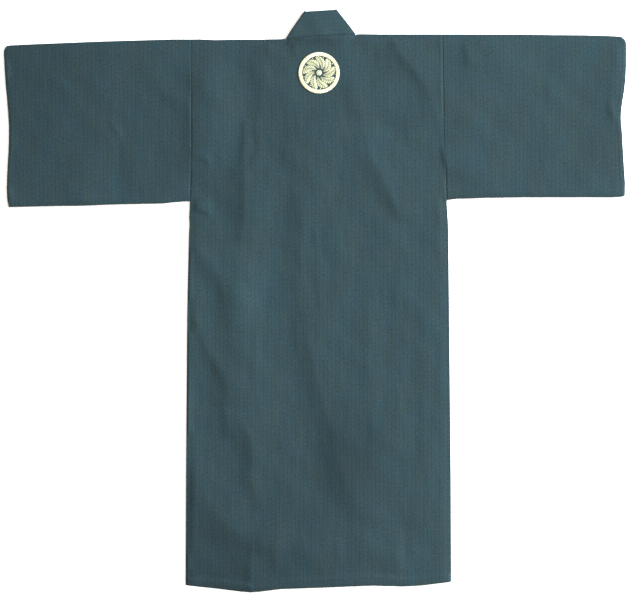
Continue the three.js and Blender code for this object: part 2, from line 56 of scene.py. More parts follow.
CLOTH = 1.2 * MM  # wall of a single cloth
BAND = 2.4 * MM  # wall of the collar, which is cloth folded double
SEAM = 0.3 * MM  # room between two pieces
UNDER_SEAM = 0.05 * MM  # between the lower walls, where the floor would show through
LAYER = CLOTH + SEAM
BAND_LAYER = BAND + SEAM

BODY_LENGTH = 1318 * MM
SLEEVE_DEPTH = 386 * MM
SLEEVE_JOIN = 275 * MM  # how far down the sleeve is sewn to the body
FRONT_HEM_SHORT = 4 * MM  # how much higher the fronts' hem is than the back's
COLLAR_WIDTH = 63 * MM
COLLAR_DROP = 560 * MM  # how far down the fronts the collar ends
COLLAR_TURN = 3.4 * MM  # how far inside the neck's corners the collar turns over
OVERLAP_WIDTH = 155 * MM
OVERLAP_TIP = 8 * MM  # its width at the top
FRONT_EDGE_LEAN = 12 * MM
CUFF_HEM = 8 * MM  # cloth turned in at the cuffs

NECK = {"left": (-80 * MM, -5 * MM), "right": (91 * MM, 5.6 * MM)}
# The collar's seam leans in at the neck by the first of these, and bends down by the second.
COLLAR_LINE_START = 0.3
COLLAR_LINE_BEND = 0.03


def table(*rows):
    """Columns of a table whose rows are written in millimetres."""
    return np.array(rows, float).T * MM


# Side edges of the body: how far below the shoulder, left edge, right edge.
SIDE_EDGES = table(
    (0, -305, 298), (275, -305, 302), (330, -306, 306), (400, -309, 308),
    (430, -310.5, 310), (446, -309.5, 311), (470, -311, 312), (660, -315, 314),
    (1060, -318, 318), (1320, -319, 319),
)
# The shoulder fold and the hem: how far across, how far up.
SHOULDER_LINE = table(
    (-305, -6), (-285, -5.8), (-250, -7.5), (-215, -6.6), (-90, -6), (-80, -5),
    (-48, -0.7), (75, 7), (91, 5.6), (100, 6), (298, 6),
)
HEM_LINE = table(
    (-319, -1315), (-235, -1324), (-187, -1330), (-163, -1332), (-139, -1330),
    (-91, -1324), (0, -1321), (125, -1316), (204, -1318), (245, -1316), (319, -1307),
)
# Sleeves: upper and lower edges as out and up, the cuff's edge as drop and out.
SLEEVES = {
    "left": {
        "top": table(
            (305, -6), (350, -6), (408, -7.6), (523, -11), (638, -15.6), (696, -18),
            (739, -20.2), (749, -21.4), (756, -25),
        ),
        "bottom": table(
            (305, -391.5), (380, -396), (465, -398), (638, -402), (755, -405),
        ),
        "cuff": table(
            (0, 749.5), (4, 754), (10, 755.5), (52, 753.5), (96, 750.7), (125, 747.8),
            (154, 745.5), (190, 743), (225, 743), (254, 744), (284, 745.9), (313, 747.4),
            (350, 748.2), (370, 747), (384, 744),
        ),
        "slit": 0.15 * MM,
    },
    "right": {
        "top": table(
            (298, 6), (500, 5.6), (560, 4.6), (640, 4), (690, 2.6), (715, 1.4), (727, 0.2),
            (738, -2),
        ),
        "bottom": table(
            (306, -388.5), (330, -385.8), (405, -382), (500, -381), (705, -381), (736, -379),
        ),
        "cuff": table(
            (0, 729), (3, 734.5), (8, 738), (14, 739.4), (70, 739.2), (103, 737.4),
            (132, 734.2), (161, 729.4), (186, 726.8), (204, 726.4), (233, 729.4),
            (276, 731.6), (319, 734.2), (355, 736.6), (384, 736.2),
        ),
        "slit": 0.6 * MM,
    },
}
OUT = {"left": -1, "right": 1}  # the way from the centre back to each side

# Folds of the upper cloth that run down it. Each has how keen its ridge is, from 0 for round
# to 1 for pressed, how wide its flank on the right is, and over what its ends fade. Its points
# are places on the ridge, each with the width of the flank on the left and the fold's rise.
DOWN_FOLDS = [
    # the left half of the back
    (0.5, 50, 16, (-176, -200, 7, 2.4), (-177, -259, 8, 4.4), (-179, -307, 14, 5.6),
     (-177, -343, 26, 7.6), (-176, -386, 34, 9.2), (-176, -420, 34, 8.4), (-178, -450, 30, 6.4),
     (-184, -490, 30, 5)),
    (0.3, 14, 10, (-143, -180, 7, 1.2), (-150, -223, 7, 1.6), (-143, -259, 7, 1.8),
     (-147, -283, 8, 1.8), (-164, -324, 8, 1.2)),
    (0.1, 38, 30, (-134, -30, 18, 2.6), (-134, -110, 20, 4.4), (-139, -190, 16, 3.2)),
    (0.5, 9, 10, (-121, -10, 9, 1.5), (-118, -42, 9, 1.5)),
    (0.1, 38, 40, (-262, -60, 36, 4.6), (-260, -150, 40, 9), (-262, -240, 40, 7.6),
     (-266, -340, 36, 4.4)),
    (0.1, 46, 40, (-184, -480, 36, 6.2), (-190, -560, 36, 8.8), (-184, -640, 36, 9.2),
     (-186, -760, 40, 8.2), (-184, -860, 38, 6.6), (-180, -930, 32, 3.6)),
    (0.3, 40, 16, (-296, -502, 12, 2.2), (-264, -533, 17, 4), (-240, -571, 22, 4.2),
     (-228, -602, 22, 3.6), (-214, -650, 20, 2.8), (-200, -700, 20, 2.4)),
    (0.4, 26, 16, (-292, -674, 9, 1.8), (-272, -732, 10, 2.8), (-252, -770, 11, 3.6),
     (-230, -808, 13, 3.6), (-214, -850, 18, 3.2), (-206, -890, 22, 3.4)),
    (0.5, 14, 16, (-233, -871, 8, 1.4), (-221, -914, 8, 2), (-216, -958, 8, 1.4)),
    (0.5, 34, 12, (-212, -896, 30, 4), (-186, -926, 38, 6.4), (-164, -956, 30, 7),
     (-158, -1010, 20, 6.2), (-160, -1060, 18, 5), (-150, -1099, 14, 3),
     (-134, -1140, 12, 1.4)),
    (0.6, 6, 30, (-149, -700, 14, 1), (-147, -850, 14, 1)),
    (0.3, 46, 20, (-300, -1030, 12, 1.6), (-280, -1080, 18, 4), (-258, -1118, 25, 6),
     (-232, -1154, 34, 7.4), (-200, -1186, 38, 7.4), (-166, -1214, 30, 5),
     (-140, -1232, 18, 2.2)),
    (1, 60, 8, (-161, -1222, 44, 3.6), (-162, -1270, 54, 7), (-162, -1332, 54, 8.4)),
    # the middle of the back
    (0.5, 14, 8, (-60, -12, 6, 2), (-52, -36, 7, 2.6), (-43, -58, 7, 2)),
    (0.2, 84, 20, (-72, -200, 8, 1), (-60, -260, 16, 2.8), (-48, -307, 26, 4.8),
     (-40, -379, 28, 6.4), (-38, -451, 24, 5.6), (-37, -535, 24, 3.8), (-33, -631, 24, 3.8),
     (-22, -727, 16, 3.6), (-2, -823, 18, 4.4), (22, -895, 24, 5.6), (48, -967, 32, 7.4),
     (62, -1051, 32, 7.6), (86, -1111, 28, 5.4), (106, -1164, 20, 2.6)),
    (0.4, 12, 25, (-4, -470, 6, 1), (-2, -560, 6, 1.2), (4, -650, 6, 0.9)),
    (0.5, 10, 14, (-50, -680, 5, 1), (-50, -770, 5, 1)),
    (0.2, 18, 14, (38, -410, 20, 1.6), (36, -480, 20, 1.6)),
    (1, 50, 14, (200, -1228, 24, 1.6), (200, -1260, 34, 3.4), (200, -1290, 26, 2)),
    # the right half of the back
    (0.3, 34, 10, (182, -5, 9, 3), (193, -34, 11, 4.2), (214, -57, 12, 5),
     (236, -84, 12, 4.8), (252, -108, 12, 3.8), (268, -145, 14, 2.8), (288, -200, 16, 1.6)),
    (0.2, 44, 16, (66, -100, 8, 1.4), (82, -145, 12, 2.2), (92, -185, 14, 1.8)),
    (0.1, 74, 26, (100, -100, 18, 3.2), (101, -145, 20, 4.4), (104, -195, 18, 3.2)),
    (0.3, 80, 16, (108, -226, 16, 2.8), (122, -262, 20, 4.4), (138, -298, 22, 6),
     (152, -329, 22, 6.8), (164, -358, 20, 6.8), (176, -386, 17, 6), (189, -413, 14, 4.2),
     (198, -440, 12, 2.4)),
    (0.1, 34, 90, (205, -520, 16, 1.8), (190, -700, 18, 2.4), (196, -960, 16, 1.8)),
    (0.1, 30, 80, (118, -560, 14, 1.6), (126, -800, 14, 2), (140, -1010, 14, 1.6)),
    (0.2, 24, 80, (262, -620, 12, 1.6), (250, -860, 12, 2), (264, -1080, 12, 1.6)),
    (0.6, 22, 6, (297, -262, 5, 2), (303, -290, 5, 2.8), (308, -310, 5, 2.6),
     (311, -328, 4, 1.4)),
    # the left sleeve
    (0.1, 52, 30, (-566, -250, 34, 0.8), (-562, -310, 36, 2.4), (-560, -405, 40, 4.2)),
    (1, 40, 20, (-478, -150, 16, -0.6), (-478, -230, 18, -1.4), (-478, -300, 22, -2.6),
     (-478, -405, 24, -4)),
    (0.4, 18, 12, (-389, -110, 9, 0.6), (-360, -142, 11, 1.4), (-341, -160, 12, 1.2)),
    (0.2, 24, 14, (-299, -170, 16, 0.8), (-298, -225, 15, 2.2), (-300, -268, 10, 1.8)),
    (0.2, 16, 16, (-367, -245, 14, 1.2), (-362, -310, 14, 1.4)),
    (0.1, 60, 30, (-570, -50, 50, 1), (-570, -100, 55, 1.6), (-572, -140, 50, 1)),
    (0.5, 12, 8, (-632, -98, 6, 0.9), (-590, -140, 8, 1.4)),
    # the right sleeve
    (0.5, 16, 8, (351, -12, 5, 1.6), (358, -38, 8, 2.6), (366, -66, 11, 3)),
    (0.1, 34, 30, (432, -10, 50, 3.4), (430, -90, 50, 3.2)),
    (0.3, 36, 20, (350, -280, 22, 2.2), (352, -320, 22, 3.6), (352, -350, 20, 2.6)),
    (0.3, 20, 24, (557, -95, 9, 0.8), (557, -160, 9, 0.8)),
]
# Folds that run across it. The flank below the ridge stands for the left one.
ACROSS_FOLDS = [
    (0.3, 6, 16, (-50, -5, 13, 2.8), (10, -1, 14, 3.8), (76, 2, 13, 3)),
    (0.3, 26, 18, (-150, -1220, 13, 3), (-115, -1222, 15, 4), (-84, -1220, 13, 2.8)),
    (0.2, 40, 16, (-112, -1244, 24, 3), (-30, -1244, 26, 4), (60, -1242, 22, 3)),
    (0.3, 34, 14, (40, -1234, 18, 0), (100, -1234, 18, 2.6), (150, -1236, 22, 4.8),
     (196, -1236, 24, 5.4)),
    (0.5, 20, 8, (-306, -413, 6, 1.4), (-283, -417, 6, 3.6), (-258, -424, 7, 2.6)),
    (0.7, 6, 5, (-302, -421, 4, -1.2), (-284, -423, 4, -2.4), (-266, -426, 4, -1.6)),
    (0.5, 12, 8, (-307, -282, 7, 2.2), (-280, -286, 7, 3), (-260, -300, 7, 2.2)),
    (0.6, 10, 6, (-502, -206, 6, 1.2), (-487, -221, 6, 2.2), (-472, -238, 6, 1.8)),
    (0.6, 12, 6, (694, -164, 6, 1.6), (708, -186, 6, 3), (730, -199, 6, 3.4)),
]
# Painted light and shade: patches of lighter or darker cloth colour that stand in for the light
# falling off towards the left and the bottom, and for the shade under the collar. Columns:
# middle across and up, half width and height, change in lightness.
PAINTED_LIGHT_PLACES = (
    (-210, -1330, 240, 210, -0.23), (75, -1010, 80, 115, -0.24), (-240, -600, 80, 150, 0.19),
    (-300, -940, 35, 150, 0.15), (-760, -60, 210, 260, -0.18), (725, -220, 120, 130, -0.11),
    (-139, -250, 30, 80, -0.11), (-139, -460, 30, 50, 0.10), (437, -100, 50, 80, 0.09),
    (-2, -12, 85, 13, -0.12), (-151, -628, 20, 28, 0.08),
)
# How far up the hem is turned: how far across, how deep.
HEM_TURN = table(
    (-319, 18), (-235, 21), (-170, 22), (-158, 15), (-91, 21), (5, 25), (96, 28),
    (194, 21), (319, 20),
)
# Where the left side and the left cuff curl up a little: from and to, down from the shoulder.
EDGE_CURLS = ((505, 640), (700, 960), (1230, 1290))
CUFF_CURLS = {"left": ((50, 108), (352, 400)), "right": ()}
CURL_RISE = 3 * MM
CURL_REACH = 10 * MM
# The armhole seams: how much the cloth beside each stands up near the shoulder, and the
# stretches, from and to, where its thread is tight.
ARMHOLES = (("left", 0, (130, 270), (310, 390)), ("right", 0.4, (90, 190), (330, 390)))
SEAM_DIP = 0.3 * MM
TIGHT_DIP = 0.7 * MM
PUCKER = 0.14 * MM
STRETCH_END = 20 * MM
# How high the doubled cloth stands at the hem, at the sleeves' feet and at the cuffs' edges.
HEM_RISE = 3.6 * MM
HEM_EDGE_RISE = 0.3 * MM
FOOT_RISE = 2.8 * MM
FOOT_REACH = 20 * MM
CUFF_RISE = {"left": 0.15 * MM, "right": 0.6 * MM}
CUFF_DOUBLING = 0.6
CUFF_FROM = 600 * MM  # the cuffs are further out than this

LOFT_AIR = 2.2 * MM  # air under the upper cloth
LOFT_REACH = 22 * MM  # how far inside the outline it is all there
LEAST_AIR = 0.8 * MM  # rounds off the folds where they reach the cloth below
DEEPEST_DIP = 0.9 * MM
EDGE_REACH = 5 * MM
STEP_MARGIN = 6 * MM  # the upper cloth lies level this far past a step below
STEP_RUN = 105 * MM  # and comes down over this

PATCH = (1.5 * MM, -86 * MM)
PATCH_RADIUS = 49.5 * MM
PATCH_BORDER = 9 * MM
PATCH_THICK = 1.6 * MM
BED_HEIGHT = 6.6 * MM  # the cloth is level under the patch, and this high
BED_REACH = 52 * MM
BED_RUN = 40 * MM
RIDGE_RADIUS = 1.5 * MM  # of a pressed fold

# The part's frame has its origin under the middle of the outline.
patch_low, patch_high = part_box("patch")
SHIFT = (
    (patch_low.x + patch_high.x) / 2 - PATCH[0], (patch_low.y + patch_high.y) / 2 - PATCH[1]
)

# ---- shape functions


def smooth(t):
    t = np.clip(t, 0, 1)
    return t * t * (3 - 2 * t)


def lerp(a, b, t):
    return a + (b - a) * t


def swell(distance, reach):
    """A bell, 1 at no distance."""
    return np.exp(-((distance / reach) ** 2))


def read(columns, key, column=1):
    return np.interp(key, columns[0], columns[column])


def side_edge(side, drop):
    return read(SIDE_EDGES, drop, 1 if side == "left" else 2)


def shoulder(x):
    return read(SHOULDER_LINE, x)


def hem(x):
    return read(HEM_LINE, x)


def front_hem(x):
    return hem(x) + FRONT_HEM_SHORT


def collar_slope(side, y):
    drop = np.maximum(0, NECK[side][1] - y)
    return COLLAR_LINE_START - 2 * COLLAR_LINE_BEND * drop


def collar_seam_x(side, y):
    """The collar's seam on a front, as an x for each y."""
    drop = NECK[side][1] - y
    bent = np.where(drop > 0, COLLAR_LINE_BEND * drop * drop, 0)
    return NECK[side][0] - OUT[side] * (COLLAR_LINE_START * drop - bent)


def front_edge_x(side, y):
    """The inner edge of a front: the collar's seam, then nearly straight down to the hem."""
    end = NECK[side][1] - COLLAR_DROP
    down = np.maximum(0, end - y) / (BODY_LENGTH - COLLAR_DROP)
    return collar_seam_x(side, np.maximum(y, end)) + OUT[side] * FRONT_EDGE_LEAN * down


def step_down(past):
    """1 on a lower layer and 0 well past its edge."""
    return 1 - smooth((past - STEP_MARGIN) / STEP_RUN)


def front_height(side, x, y):
    """Height that a front with its half of the collar takes up under what lies on it."""
    inwards = -OUT[side]
    cloth = LAYER * step_down(inwards * (x - front_edge_x(side, y)))
    across = inwards * (x - collar_seam_x(side, y))
    width = COLLAR_WIDTH * np.hypot(1, collar_slope(side, y))
    past_end = NECK[side][1] - COLLAR_DROP - y
    past = np.maximum(np.maximum(across - width, -across), past_end)
    return np.maximum(cloth, BAND_LAYER * step_down(past))


def under_back(x, y):
    """What the back lies on."""
    return np.maximum(LAYER, front_height("left", x, y) + front_height("right", x, y))


def over_neck(x):
    """1 over the neck opening, where the back isn't held to the fronts."""
    return smooth(np.minimum(x - NECK["left"][0], NECK["right"][0] - x) / LOFT_REACH)


def inset(x, y):
    """How far a point is inside the outline of the body and sleeves."""
    drop = -y
    body = np.minimum.reduce([
        x - side_edge("left", drop),
        side_edge("right", drop) - x,
        shoulder(x) - y + over_neck(x) * LOFT_REACH,
        y - hem(x) + LOFT_REACH / 2,
    ])
    for side in OUT:
        out = x * OUT[side]
        sleeve = SLEEVES[side]
        arm = np.minimum.reduce([
            read(sleeve["cuff"], drop) - out + (side == "left") * LOFT_REACH / 2,
            read(sleeve["top"], out) - y,
            y - read(sleeve["bottom"], out) + LOFT_REACH / 2,
        ])
        body = np.where(out > 0, np.maximum(body, arm), body)
    return body


def curve(keys, values, key):
    """A smooth curve through points, straight on past its two ends."""
    slopes = np.gradient(values, keys)
    k = np.clip(np.searchsorted(keys, key) - 1, 0, len(keys) - 2)
    span = keys[k + 1] - keys[k]
    t = np.clip((key - keys[k]) / span, 0, 1)
    smoothed = (
        values[k] * (1 + 2 * t) * (1 - t) ** 2
        + slopes[k] * span * t * (1 - t) ** 2
        + values[k + 1] * t * t * (3 - 2 * t)
        - slopes[k + 1] * span * t * t * (1 - t)
    )
    before = np.minimum(0, key - keys[0]) * slopes[0]
    after = np.maximum(0, key - keys[-1]) * slopes[-1]
    return smoothed + before + after


def fold_height(along, aside, points, keen, right, fade):
    """One fold's height. Its points hold along, aside, the first flank's width and the rise."""
    places, asides, lefts, rises = table(*sorted(points))
    where = curve(places, asides, along)
    lean = (curve(places, asides, along + MM) - where) / MM
    past = (aside - where) / np.hypot(1, lean)
    width = np.where(past < 0, np.interp(along, places, lefts), right * MM)
    pressed = np.exp((RIDGE_RADIUS - np.hypot(past, RIDGE_RADIUS)) / width)
    bell = lerp(np.exp(-0.5 * (past / width) ** 2), pressed, keen)
    ends = smooth((along - places[0]) / (2 * fade * MM) + 0.5)
    ends = ends * smooth((places[-1] - along) / (2 * fade * MM) + 0.5)
    return np.interp(along, places, rises) * bell * ends


def folds(x, y):
    total = np.zeros_like(x)
    for keen, right, fade, *points in DOWN_FOLDS:
        swapped = [(b, a, width, rise) for a, b, width, rise in points]
        total += fold_height(y, x, swapped, keen, right, fade)
    for keen, upper, fade, *points in ACROSS_FOLDS:
        total += fold_height(x, y, points, keen, upper, fade)
    return total


# Slow waves: each has its way, its start, its length and its rise.
RANDOM = np.random.default_rng(11)
WAVES = [
    (RANDOM.uniform(0, tau), RANDOM.uniform(0, tau), length * MM, rise * MM)
    for length, rise in [
        (300, 0.35), (240, 0.32), (190, 0.3), (150, 0.3), (120, 0.26), (96, 0.24),
        (78, 0.2), (62, 0.17), (50, 0.14), (41, 0.11), (34, 0.09), (28, 0.07),
    ]
]
WAVES_ACROSS, WAVES_ALONG = 1.15, 0.8


def unevenness(x, y):
    """Small slow waves in all directions, longer down the cloth than across it."""
    total = np.zeros_like(x)
    for turn, start, length, rise in WAVES:
        way = (np.cos(turn) * x * WAVES_ACROSS + np.sin(turn) * y * WAVES_ALONG) / length
        total += rise * np.sin(tau * way + start)
    return total


def stretch(drop, top, foot):
    """1 between two drops given in millimetres, fading at both."""
    return smooth((drop - top * MM) / STRETCH_END) * smooth((foot * MM - drop) / STRETCH_END)


def beside_seam(x, y):
    """The sewn cloth dips into the armhole seams, and is a little thicker beside them."""
    drop = -y
    sewn = 1 - smooth((drop - SLEEVE_JOIN) / (14 * MM))
    upper = 1 - smooth((drop - 150 * MM) / (50 * MM))
    ripple = np.sin(tau * drop / (23 * MM) + 2 * np.sin(drop / (31 * MM)))
    total = np.zeros_like(x)
    for side, allowance, *tight in ARMHOLES:
        depth = SEAM_DIP + TIGHT_DIP * sum(stretch(drop, *ends) for ends in tight)
        past = (x - side_edge(side, drop)) * OUT[side]
        total -= depth * swell(past, 2.2 * MM)
        total += allowance * MM * swell(past + 6 * MM, 3.5 * MM) * upper
        total += PUCKER * ripple * swell(past, 13 * MM) * sewn
    return total


def curl(inside, drop, stretches):
    """The lift of an edge that curls up along some stretches of it."""
    along = sum(stretch(drop, *ends) for ends in stretches)
    return CURL_RISE * along * swell(inside - 3 * MM, CURL_REACH) * (inside > -MM)


def hems(x, y):
    """The cloth is double over the turned hem and cuffs, with a soft ridge at their edge."""
    past = y - hem(x) - read(HEM_TURN, x)
    total = HEM_RISE * (1 - smooth(past / (10 * MM) + 0.5))
    total += HEM_EDGE_RISE * swell(past + 3 * MM, 3 * MM)
    total += curl(x - side_edge("left", -y), -y, EDGE_CURLS)
    for side in OUT:
        out = x * OUT[side]
        inside = read(SLEEVES[side]["cuff"], -y) - out
        ridge = swell(inside - CUFF_HEM, 3 * MM)
        ridge += CUFF_DOUBLING * (1 - smooth((inside - CUFF_HEM) / (4 * MM) + 0.5))
        cuff = CUFF_RISE[side] * ridge + curl(inside, -y, CUFF_CURLS[side])
        above = y - read(SLEEVES[side]["bottom"], out)
        on_sleeve = smooth((out - 330 * MM) / (50 * MM))
        total += cuff * (out > CUFF_FROM) + FOOT_RISE * swell(above, FOOT_REACH) * on_sleeve
    return total


def upper_cloth(x, y):
    """Underside of the upper cloth, with its air and folds, and level where the patch is."""
    inside = inset(x, y)
    loose = LOFT_AIR + folds(x, y) + unevenness(x, y)
    loose = (loose + np.hypot(loose, LEAST_AIR)) / 2
    height = under_back(x, y) + smooth(inside / LOFT_REACH) * loose
    sewing = smooth(inside / EDGE_REACH) * (beside_seam(x, y) + hems(x, y))
    height += np.maximum(-DEEPEST_DIP, sewing)
    away = np.hypot(x - PATCH[0], y - PATCH[1])
    return lerp(BED_HEIGHT, height, smooth((away - BED_REACH) / BED_RUN))


# ---- pieces of cloth

WELD = 0.001 * MM


def spread(count, *spots):
    """Places from 0 to 1, crowded round spots. A spot has its place, reach and weight."""
    fine = np.linspace(0, 1, 2001)
    density = np.ones_like(fine)
    for place, reach, weight in spots:
        density += weight * swell(fine - place, reach)
    total = np.concatenate([[0], np.cumsum((density[1:] + density[:-1]) / 2)])
    return np.interp(np.linspace(0, 1, count + 1), total / total[-1], fine)


def closed_mesh(bm, name):
    """The mesh of a bmesh that is done with."""
    mesh = bpy.data.meshes.new(name)
    bm.to_mesh(mesh)
    bm.free()
    return mesh


def cloth_mesh(name, columns, rows, place, keep=None, flip=False, weld=False):
    """A sheet from a grid. place gives the corners' points and their places on the cloth."""
    bm = bmesh.new()
    bmesh.ops.create_grid(bm, x_segments=columns, y_segments=rows, size=0.5)
    if keep:
        middles = [(face, face.calc_center_median()) for face in bm.faces]
        spare = [
            face for face, middle in middles
            if not keep((middle.x + 0.5) * columns, (middle.y + 0.5) * rows)
        ]
        bmesh.ops.delete(bm, geom=spare, context="FACES")
    if flip:
        bmesh.ops.reverse_faces(bm, faces=bm.faces)
    mesh = closed_mesh(bm, name)
    flat = np.zeros(len(mesh.vertices) * 3)
    mesh.vertices.foreach_get("co", flat)
    flat = flat.reshape(-1, 3)
    i = np.rint((flat[:, 0] + 0.5) * columns).astype(int)
    j = np.rint((flat[:, 1] + 0.5) * rows).astype(int)
    points, cut = place(i, j)
    points = points + np.array([*SHIFT, 0])
    mesh.vertices.foreach_set("co", points.ravel())
    corners = np.zeros(len(mesh.loops), int)
    mesh.loops.foreach_get("vertex_index", corners)
    layer = mesh.uv_layers.new(name="cut")
    layer.data.foreach_set("uv", cut[corners].ravel())
    if weld:
        bm = bmesh.new()
        bm.from_mesh(mesh)
        bmesh.ops.remove_doubles(bm, verts=bm.verts, dist=WELD)
        bm.to_mesh(mesh)
        bm.free()
    mesh.polygons.foreach_set("use_smooth", [True] * len(mesh.polygons))
    mesh.update()
    return mesh


def put(name, data):
    """A new object in the scene."""
    made = bpy.data.objects.new(name, data)
    bpy.context.scene.collection.objects.link(made)
    return made


def add_piece(mesh, material, node=None):
    """A piece with its mesh's name, which may stand for a node."""
    piece = put(mesh.name, mesh)
    mesh.materials.append(material)
    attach(piece, "root")
    if node:
        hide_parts(node)
    return piece


def add_shell(mesh, material, node, wall, rounding=0):
    """A piece whose mesh is its outside, with a wall grown inwards from it."""
    piece = add_piece(mesh, material, node)
    shell = piece.modifiers.new("wall", "SOLIDIFY")
    shell.thickness = wall
    shell.offset = -1
    shell.use_rim = True
    if rounding:
        edge = piece.modifiers.new("rounding", "BEVEL")
        edge.width = rounding
        edge.segments = 3
        edge.limit_method = "ANGLE"
        edge.angle_limit = radians(50)
    return piece


def turn_over(x, y, towards, turn, low, high, thick):
    """Outside of cloth that turns over, from 0 above to 1 below, bulging towards a way."""
    angle = pi * (0.5 - turn)
    radius = (high + thick - low) / 2
    reach = radius * np.cos(angle)
    z = low + radius + radius * np.sin(angle)
    return x + towards[0] * reach, y + towards[1] * reach, z


def blank(i):
    """Room for the points of a grid's corners and for their places on the cloth."""
    return np.zeros((len(i), 3)), np.zeros((len(i), 2))


def fill(room, part, point, cut):
    """Writes the points and places of one part of the grid."""
    for columns, values in zip(room, (point, cut)):
        columns[part] = np.stack(values, 1)


# ---- the body: back and both fronts

SIDE_COLUMNS = 60  # from a side to the neck
NECK_COLUMNS = 52
BODY_COLUMNS = 2 * SIDE_COLUMNS + NECK_COLUMNS
BACK_ROWS = 226
FOLD_ROWS = 6
FRONT_ROWS = 38
FRONT_FROM = BACK_ROWS + FOLD_ROWS
BACK_SHARES = spread(BACK_ROWS, (1, 0.012, 3), (0.32, 0.008, 0.8), (0.005, 0.01, 1))
FRONT_SHARES = spread(FRONT_ROWS)
FOLD_CUT = 8 * MM  # cloth that the shoulder fold takes up, from front to back and halved
HALF_HEM = 319 * MM
HEM_CREASES = (-162 * MM, 203 * MM)  # where the two pressed creases meet the hem


def column_shares():
    left, right = side_edge("left", 0), side_edge("right", 0)
    near, far = ((NECK[side][0] - left) / (right - left) for side in OUT)
    hem_left, hem_right = ((crease + HALF_HEM) / (2 * HALF_HEM) for crease in HEM_CREASES)
    outer = spread(SIDE_COLUMNS, (0, 0.03, 2.5), (hem_left / near, 0.05, 0.8))
    inner = spread(
        SIDE_COLUMNS, ((hem_right - far) / (1 - far), 0.05, 0.8), (1, 0.03, 2.5)
    )
    middle = np.linspace(near, far, NECK_COLUMNS + 1)
    return np.concatenate([outer * near, middle[1:-1], far + inner * (1 - far)])


COLUMN_SHARES = column_shares()


def body_edge(side, share):
    x = side_edge(side, share * BODY_LENGTH)
    return x, lerp(shoulder(x), hem(x), share)


def back_point(column, share):
    x = lerp(body_edge("left", share)[0], body_edge("right", share)[0], column)
    return x, lerp(shoulder(x), hem(x), share)


TIP_SHARE = 0.7 * SLEEVE_JOIN / BODY_LENGTH  # how far down the overlap panels begin


def overlap_seam_x(side, y):
    top = lerp(NECK[side][1], front_hem(0), TIP_SHARE)
    foot = front_hem(0)
    tip_x = collar_seam_x(side, top) + OUT[side] * OVERLAP_TIP
    foot_x = front_edge_x(side, foot) + OUT[side] * OVERLAP_WIDTH
    return lerp(tip_x, foot_x, (top - y) / (top - foot))


def front_point(side, across, share):
    outer_x, outer_y = body_edge(side, share)
    inner_y = lerp(NECK[side][1], front_hem(0), share)
    inner_x = np.where(
        share < TIP_SHARE, collar_seam_x(side, inner_y), overlap_seam_x(side, inner_y)
    )
    x = lerp(outer_x, inner_x, across)
    y = lerp(outer_y, inner_y, across)
    y = np.where(share <= 0, shoulder(x), y)
    return x, np.where(share >= 1, hem(x) + FRONT_HEM_SHORT * across, y)


def under_front(side, x, y):
    """What a front lies on: the floor, or the left front with its half of the collar."""
    return 0 * x if side == "left" else front_height("left", x, y)


def body_place(i, j):
    room = blank(i)
    column = COLUMN_SHARES[i]
    left = i <= SIDE_COLUMNS
    part = j <= BACK_ROWS
    x, y = back_point(column[part], BACK_SHARES[BACK_ROWS - j[part]])
    fill(room, part, (x, y, upper_cloth(x, y) + CLOTH), (x, y))
    part = (j > BACK_ROWS) & (j < FRONT_FROM)
    x, y = back_point(column[part], 0 * column[part])
    turn = (j[part] - BACK_ROWS) / FOLD_ROWS
    under = np.where(left[part], 0, under_front("right", x, y))
    outside = turn_over(x, y, (0, 1), turn, under, upper_cloth(x, y), CLOTH)
    fill(room, part, outside, (x, y + turn * FOLD_CUT))
    neck_left, neck_right = COLUMN_SHARES[SIDE_COLUMNS], COLUMN_SHARES[-1 - SIDE_COLUMNS]
    for side, mine, across in (
        ("left", left, column / neck_left),
        ("right", ~left, (1 - column) / (1 - neck_right)),
    ):
        part = (j >= FRONT_FROM) & mine
        share = FRONT_SHARES[j[part] - FRONT_FROM]
        x, y = front_point(side, np.minimum(across[part], 1), share)
        fill(room, part, (x, y, under_front(side, x, y)), (x, 2 * FOLD_CUT - y))
    return room


def body_keep(i, j):
    return j < BACK_ROWS or not SIDE_COLUMNS < i < SIDE_COLUMNS + NECK_COLUMNS


# ---- the overlap panels

OVERLAP_COLUMNS = 16
OVERLAP_ROWS = 70


def overlap_place(side):
    def place(i, j):
        share = lerp(TIP_SHARE, 1, j / OVERLAP_ROWS)
        y = lerp(NECK[side][1], front_hem(0), share) - np.where(j, 0, SEAM)
        seam = overlap_seam_x(side, y) - OUT[side] * SEAM
        x = lerp(seam, front_edge_x(side, y), i / OVERLAP_COLUMNS)
        y = np.where(share < 1, y, front_hem(x))
        return np.stack([x, y, under_front(side, x, y)], 1), np.stack([x, -y], 1)

    return place


# ---- the sleeves

SLEEVE_COLUMNS = 92
SLEEVE_ROWS = 66
SLEEVE_UNDER = 16
SLEEVE_FOLD = 6
SLEEVE_RING = SLEEVE_ROWS + SLEEVE_UNDER + 2 * SLEEVE_FOLD
ACROSS_SHARES = spread(SLEEVE_COLUMNS, (0, 0.02, 2.0), (1, 0.03, 2.2))
SLEEVE_DOWN = spread(SLEEVE_ROWS, (0, 0.03, 1.2), (1, 0.03, 1.2))
SLEEVE_CUT = 6 * MM  # cloth that each long fold takes up, halved
SLIT_RUN = 55 * MM  # the slit under the seam widens over this


def sleeve_point(side, across, down, gap=SEAM):
    """down is 0 at the shoulder fold and 1 at the lower seam."""
    sleeve = SLEEVES[side]
    top_y, low_y = sleeve["top"][1][0], sleeve["bottom"][1][0]
    inner_y = lerp(top_y, low_y, down)
    edge = side_edge(side, -inner_y) * OUT[side]
    free = smooth((-inner_y - SLEEVE_JOIN) / SLIT_RUN)
    cuff = read(sleeve["cuff"], down * SLEEVE_DEPTH)
    out = lerp(edge + gap + sleeve["slit"] * free, cuff, across)
    top = read(sleeve["top"], out)
    bottom = read(sleeve["bottom"], out)
    return OUT[side] * out, lerp(top, bottom, down)


